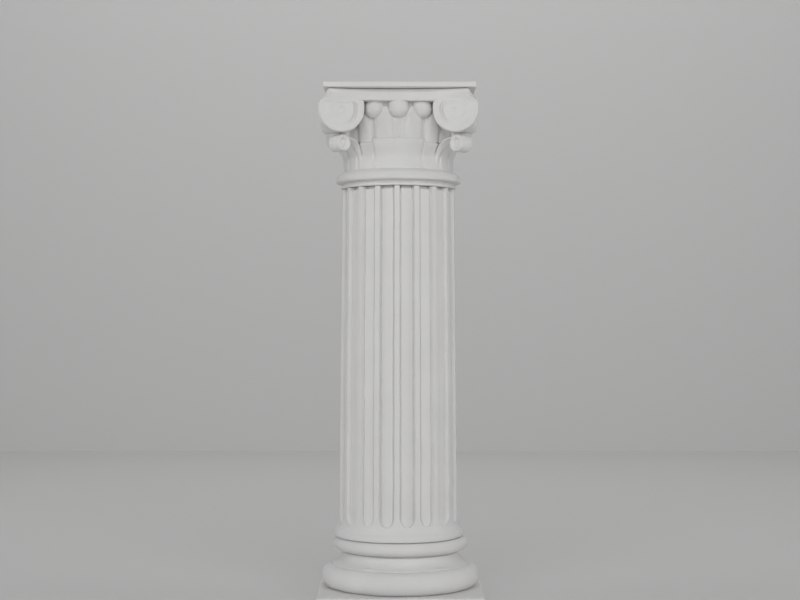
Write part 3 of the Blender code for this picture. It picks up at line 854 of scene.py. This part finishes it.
def add_stem(bm, corner):
    """Leaf that rises in the valley between two side leaves and widens as it bends out to its roll."""
    out, height, size, width = CURLS[corner]
    spin = on_diagonal(corner)
    foot = BELL_BOTTOM - STEM_DROP
    reach = out - STEM_SHORT - STEM_FOOT
    rise = height + size - STEM_BELOW - foot
    rings = []
    for step in range(31):
        climb = pi / 2 * step / 30
        along = Vector((0.0, -reach * sin(climb), rise * cos(climb))).normalized()
        normal = Vector((0.0, -along.z, along.y))
        bend = (1.0 - cos(climb)) ** STEM_BEND
        middle = Vector((0.0, -STEM_FOOT - reach * bend, foot + rise * sin(climb)))
        opened = ease(step / 22 - 0.35)
        half = STEM_HALF + (0.5 * width - STEM_HALF - 0.5) * opened
        ring = []
        for turn in range(24):
            angle = 2 * pi * turn / 24
            thick = STEM_THICKNESS + 0.25 * cos(4.0 * angle) * opened
            across = Vector((half * cos(angle), 0.0, 0.0))
            ring.append(spin @ (middle + across + normal * (thick * sin(angle))))
        rings.append(ring)
    add_closed_rings(bm, rings)


def roll_end(size, half, side, angles):
    """One end of a roll, from its middle outwards: a dished coil inside a rounded rim."""
    flat = size - ROLL_EDGE
    rings = []
    for step in range(9):
        radius = (0.05 + 0.95 * step / 8) * flat
        ring = []
        for angle in angles:
            coil = size * 0.62 - size * 0.3 * ((angle + 2.0) % (2 * pi)) / (2 * pi)
            dish = ROLL_DISH * (1.0 - ease((radius - size + 2.4) / 1.2))
            dish += notch(radius - coil, 0.9, ROLL_DISH)
            ring.append(Vector((side * (half - dish), -cos(angle) * radius, sin(angle) * radius)))
        rings.append(ring)
    for step in range(1, 5):
        bend = pi / 2 * step / 4
        radius = size - ROLL_EDGE * (1.0 - sin(bend))
        x = side * (half - ROLL_EDGE * (1.0 - cos(bend)))
        rings.append([Vector((x, -cos(angle) * radius, sin(angle) * radius)) for angle in angles])
    return rings


def add_roll(bm, corner):
    """Rolled tip of the leaf, a little ribbed across, with a shallow coil in each end."""
    out, height, size, width = CURLS[corner]
    spin = on_diagonal(corner)
    centre = Vector((0.0, -out, height))
    half = width / 2
    angles = [2 * pi * step / 60 for step in range(60)]
    rings = roll_end(size, half, -1, angles)
    for step in range(1, 20):
        off = (half - ROLL_EDGE) * (step / 10 - 1.0)
        groove = notch(off - ROLL_RIB, 1.2, 0.2) + notch(off + ROLL_RIB, 1.2, 0.2)
        radius = size + ROLL_SWELL * (1.0 - (off / half) ** 2) - groove
        rings.append([Vector((off, -cos(angle) * radius, sin(angle) * radius)) for angle in angles])
    rings += reversed(roll_end(size, half, 1, angles))
    add_closed_rings(bm, [[spin @ (centre + point) for point in ring] for ring in rings])


def block_face(x, share):
    """How far the block's side stands from the axis: hollow, and out to the volutes at its foot."""
    end = ABACUS_HALF - ABACUS_CORNER
    hollow = ABACUS_SAGITTA * (1.0 - min(1.0, abs(x) / end) ** 2)
    upper = ABACUS_HALF - hollow
    middle = upper + ABACUS_FLARE
    horn = VOLUTE_FRONT - HORN_SETBACK + (abs(x) - VOLUTE_OUT) * tan(radians(VOLUTE_TURN))
    lower = middle + (max(horn, middle) - middle) * ease((abs(x) - HORN_START) / HORN_SPAN)
    return upper + (lower - upper) * (1.0 - ease(share))


def abacus_ring(share, height, soft):
    """Square with hollow sides and cut corners."""
    end = ABACUS_HALF - ABACUS_CORNER + ABACUS_FLARE * (1.0 - ease(share))
    corner = block_face(end, share) - soft
    points = []
    for side in range(4):
        spin = Matrix.Rotation(pi / 2 * side, 3, "Z")
        for step in range(61):
            x = -end + end * step / 30
            points.append(spin @ Vector((x, -(block_face(x, share) - soft), height)))
        for step in range(1, 5):
            part = step / 5
            bend = 0.25 * ABACUS_CORNER * sin(pi * part)
            x = end + (corner - end) * part + bend * 0.7
            y = corner + (end - corner) * part + bend * 0.7
            points.append(spin @ Vector((x, -y, height)))
    return points


def add_abacus(bm):
    """Hollow-sided block that spreads downwards."""
    rings = []
    depth = ABACUS_TOP - ABACUS_BOTTOM
    for step in range(23):
        share = step / 22
        soft = ABACUS_ROUND * max(0.0, 1.0 - min(share, 1.0 - share) * 11.0) ** 2
        rings.append(abacus_ring(share, ABACUS_BOTTOM + depth * share, soft))
    add_closed_rings(bm, rings)


def egg_tree():
    """Node tree that sets an egg, drawn out a little upwards, on each point of a row."""
    tree = new_tree("row of eggs", {"Egg Size": "NodeSocketVector", "Egg Stretch": "NodeSocketFloat"})
    nodes = tree.nodes
    links = tree.links
    given = nodes.new("NodeGroupInput").outputs
    ball = nodes.new("GeometryNodeMeshUVSphere")
    ball.inputs["Segments"].default_value = 44
    ball.inputs["Rings"].default_value = 26
    ball.inputs["Radius"].default_value = 1.0
    place = nodes.new("GeometryNodeInputPosition")
    split = nodes.new("ShaderNodeSeparateXYZ")
    lift = nodes.new("ShaderNodeCombineXYZ")
    stretch = nodes.new("GeometryNodeSetPosition")
    links.new(place.outputs[0], split.inputs[0])
    upper = calculate(tree, "MAXIMUM", split.outputs["Z"], 0.0)
    links.new(calculate(tree, "MULTIPLY", upper, given["Egg Stretch"]), lift.inputs["Z"])
    links.new(ball.outputs["Mesh"], stretch.inputs["Geometry"])
    links.new(lift.outputs[0], stretch.inputs["Offset"])
    row = nodes.new("GeometryNodeInstanceOnPoints")
    links.new(given["Geometry"], row.inputs["Points"])
    links.new(stretch.outputs["Geometry"], row.inputs["Instance"])
    links.new(given["Egg Size"], row.inputs["Scale"])
    end_tree(tree, given, row.outputs[0])
    return tree


def make_eggs(material):
    """Three eggs under the block on each side."""
    places = []
    for side in range(4):
        for turn in EGG_TURNS:
            places.append(polar(90.0 * side + turn, EGG_OUT, ABACUS_BOTTOM - EGG_DROP) * MM)
    points = bpy.data.meshes.new("egg_places")
    points.from_pydata(places, [], [])
    return run_tree("egg_row", points, egg_tree(), {
        "Egg Size": tuple(Vector(EGG_SIZE) * MM), "Egg Stretch": EGG_STRETCH, "Material": material})


def unite(name, meshes):
    """Join overlapping closed meshes into one."""
    whole = bpy.data.objects.new(name, meshes[0])
    bpy.context.scene.collection.objects.link(whole)
    guides = []
    for mesh in meshes[1:]:
        guide = bpy.data.objects.new(mesh.name, mesh)
        bpy.context.scene.collection.objects.link(guide)
        guides.append(guide)
        join = whole.modifiers.new(mesh.name, "BOOLEAN")
        join.operation = "UNION"
        join.solver = "MANIFOLD"
        join.object = guide
    made = bpy.data.meshes.new_from_object(whole.evaluated_get(bpy.context.evaluated_depsgraph_get()))
    for item in guides + [whole]:
        bpy.data.objects.remove(item, do_unlink=True)
    made.name = name
    return made


def make_capital(material):
    """Join the forms of the capital and roughen them a little."""
    meshes = [built_mesh("bell", add_bell), built_mesh("block", add_abacus), make_eggs(material)]
    for corner in range(4):
        meshes.append(built_mesh("volutes", add_volutes, corner))
        meshes.append(built_mesh("leaf stem", add_stem, corner))
        meshes.append(built_mesh("leaf neck", add_curl_neck, corner))
        meshes.append(built_mesh("leaf roll", add_roll, corner))
    made = unite("capital_casting", meshes)
    roughen(made, CAPITAL_BOTTOM, ABACUS_TOP, 0.8, 1.0, CAPITAL_WAVE, CAPITAL_WAVE_DEPTH)
    return made


capital_plaster = cast_plaster("capital plaster", PLASTER_COLOUR, 0.06, 0.35)
capital = add_piece("capital_casting", make_capital(capital_plaster), capital_plaster)
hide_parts("capital")

# Abacus plate
# Thin square slab laid on the block, cast on its own, with crisp but slightly nicked edges. Its colour
# is set a touch lighter than the other castings' as a painted highlight on its lit edges.

PLATE_LOW, PLATE_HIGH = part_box("abacus_plate")
PLATE_SHIFT = Vector((0.7, 0.0, 0.0))
PLATE_CORNER = 0.4
PLATE_ROUND = 0.35
NICK_SPACING = 3.1
NICK_LIMIT = 0.35
PLATE_WAVE = 11.0
PLATE_WAVE_DEPTH = 0.1


def make_plate():
    """Square slab with softly broken edges."""
    half = PLATE_HIGH[0] / MM
    bottom = PLATE_LOW[2] / MM
    top = PLATE_HIGH[2] / MM
    soft = PLATE_ROUND
    shares = (0.4, 0.8, 0.97)
    rim = (
        (soft, bottom), (0.1, bottom + 0.1), (0.0, bottom + soft), (0.0, (bottom + top) / 2),
        (0.0, top - soft), (0.1, top - 0.1), (soft, top))
    rings = [square_ring(half * share, bottom, PLATE_CORNER) for share in shares]
    rings += [square_ring(half - inset, height, PLATE_CORNER) for inset, height in rim]
    rings += [square_ring(half * share, top, PLATE_CORNER) for share in reversed(shares)]
    nicked = [[nick(point, half) + PLATE_SHIFT for point in ring] for ring in rings]
    return built_mesh("abacus_slab", add_closed_rings, nicked)


def nick(point, half):
    """Draw the slab's rim in a little where it has been knocked."""
    if max(abs(point.x), abs(point.y)) < half - 0.5:
        return point
    knock = max(0.0, noise.noise(point / NICK_SPACING) - 0.32) * 1.6
    wave = PLATE_WAVE_DEPTH * (noise.noise(point / PLATE_WAVE) - 1.0)
    away = Vector((point.x, point.y, 0.0)).normalized()
    return point + away * (wave - min(knock, NICK_LIMIT))


# A touch lighter than the other castings' plaster: painted highlight for the slab's lit edges.
highlit_plate_plaster = cast_plaster("plate plaster", (0.82, 0.808, 0.79), 0.04, 0.2)
plate = add_piece("abacus_slab", make_plate(), highlit_plate_plaster)
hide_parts("abacus_plate")

# Floor and backdrop
# Two plain pale boards that are no part of the column: it stands on one of them, and the other
# is upright, well behind it.

BOARD_REACH = 3.0
BACKDROP_PLACE = 1.1
BACKDROP_HEIGHT = 2.4


def make_board(name, corners, colour):
    """Flat pale board."""
    mesh = bpy.data.meshes.new(name)
    mesh.from_pydata(corners, [], [(0, 1, 2, 3)])
    material = bpy.data.materials.new(name)
    material.use_nodes = True
    shader = material.node_tree.nodes["Principled BSDF"]
    shader.inputs["Base Color"].default_value = (*colour, 1.0)
    shader.inputs["Roughness"].default_value = 0.9
    mesh.materials.append(material)
    board = bpy.data.objects.new(name, mesh)
    bpy.context.scene.collection.objects.link(board)
    return board


floor = make_board("floor", [
    (-BOARD_REACH, -BOARD_REACH, 0.0), (BOARD_REACH, -BOARD_REACH, 0.0),
    (BOARD_REACH, BACKDROP_PLACE, 0.0), (-BOARD_REACH, BACKDROP_PLACE, 0.0)], (0.72, 0.715, 0.705))
backdrop = make_board("backdrop", [
    (-BOARD_REACH, BACKDROP_PLACE, 0.0), (BOARD_REACH, BACKDROP_PLACE, 0.0),
    (BOARD_REACH, BACKDROP_PLACE, BACKDROP_HEIGHT), (-BOARD_REACH, BACKDROP_PLACE, BACKDROP_HEIGHT)],
    (0.68, 0.68, 0.67))

# Light
# A broad soft lamp hangs in front, above the column's own height, with a weaker lamp at each side
# and one more aimed at the backdrop.


def add_lamp(name, place, target, size, power):
    """Soft oblong lamp aimed at a point."""
    lamp = bpy.data.lights.new(name, "AREA")
    lamp.shape = "RECTANGLE"
    lamp.size = size[0]
    lamp.size_y = size[1]
    lamp.energy = power
    item = bpy.data.objects.new(name, lamp)
    item.location = place
    item.rotation_euler = (Vector(target) - Vector(place)).to_track_quat("-Z", "Y").to_euler()
    bpy.context.scene.collection.objects.link(item)


add_lamp("front lamp", (0.0, -1.2, 0.58), (0.0, 0.0, 0.13), (1.5, 0.7), 7.9)
add_lamp("left lamp", (-1.15, -0.3, 0.35), (0.0, 0.0, 0.18), (0.4, 0.6), 1.9)
add_lamp("right lamp", (1.15, -0.3, 0.35), (0.0, 0.0, 0.18), (0.4, 0.6), 1.9)
add_lamp("backdrop lamp", (0.0, 0.35, 1.3), (0.0, 1.1, 0.5), (1.6, 0.3), 5.5)

world = bpy.data.worlds.new("room")
world.use_nodes = True
world.node_tree.nodes["Background"].inputs["Color"].default_value = (0.9, 0.92, 0.95, 1.0)
world.node_tree.nodes["Background"].inputs["Strength"].default_value = 0.17
bpy.context.scene.world = world
bpy.context.scene.view_settings.view_transform = "Standard"

# Camera
# It looks level at the column from the front, a little above its middle, from about 0.9 m away.
# The foot of the plinth falls below the picture.

CAMERA_DISTANCE = 902.0
CAMERA_HEIGHT = 165.8
FOCAL_PIXELS = 1550.0
FRAME_PIXELS = (800.0, 600.0)
AXIS_PIXEL = 398.5
HORIZON_PIXEL = 323.0
SENSOR_WIDTH = 36.0
lens = bpy.data.cameras.new("camera")
lens.sensor_width = SENSOR_WIDTH
lens.lens = SENSOR_WIDTH * FOCAL_PIXELS / FRAME_PIXELS[0]
lens.clip_start = 0.01
camera = bpy.data.objects.new("camera", lens)
camera.location = Vector((0.0, -CAMERA_DISTANCE, CAMERA_HEIGHT)) * MM
tilt = pi / 2 + (HORIZON_PIXEL - FRAME_PIXELS[1] / 2) / FOCAL_PIXELS
yaw = (AXIS_PIXEL - FRAME_PIXELS[0] / 2) / FOCAL_PIXELS
camera.rotation_euler = (tilt, 0.0, yaw)
bpy.context.scene.collection.objects.link(camera)
bpy.context.scene.camera = camera
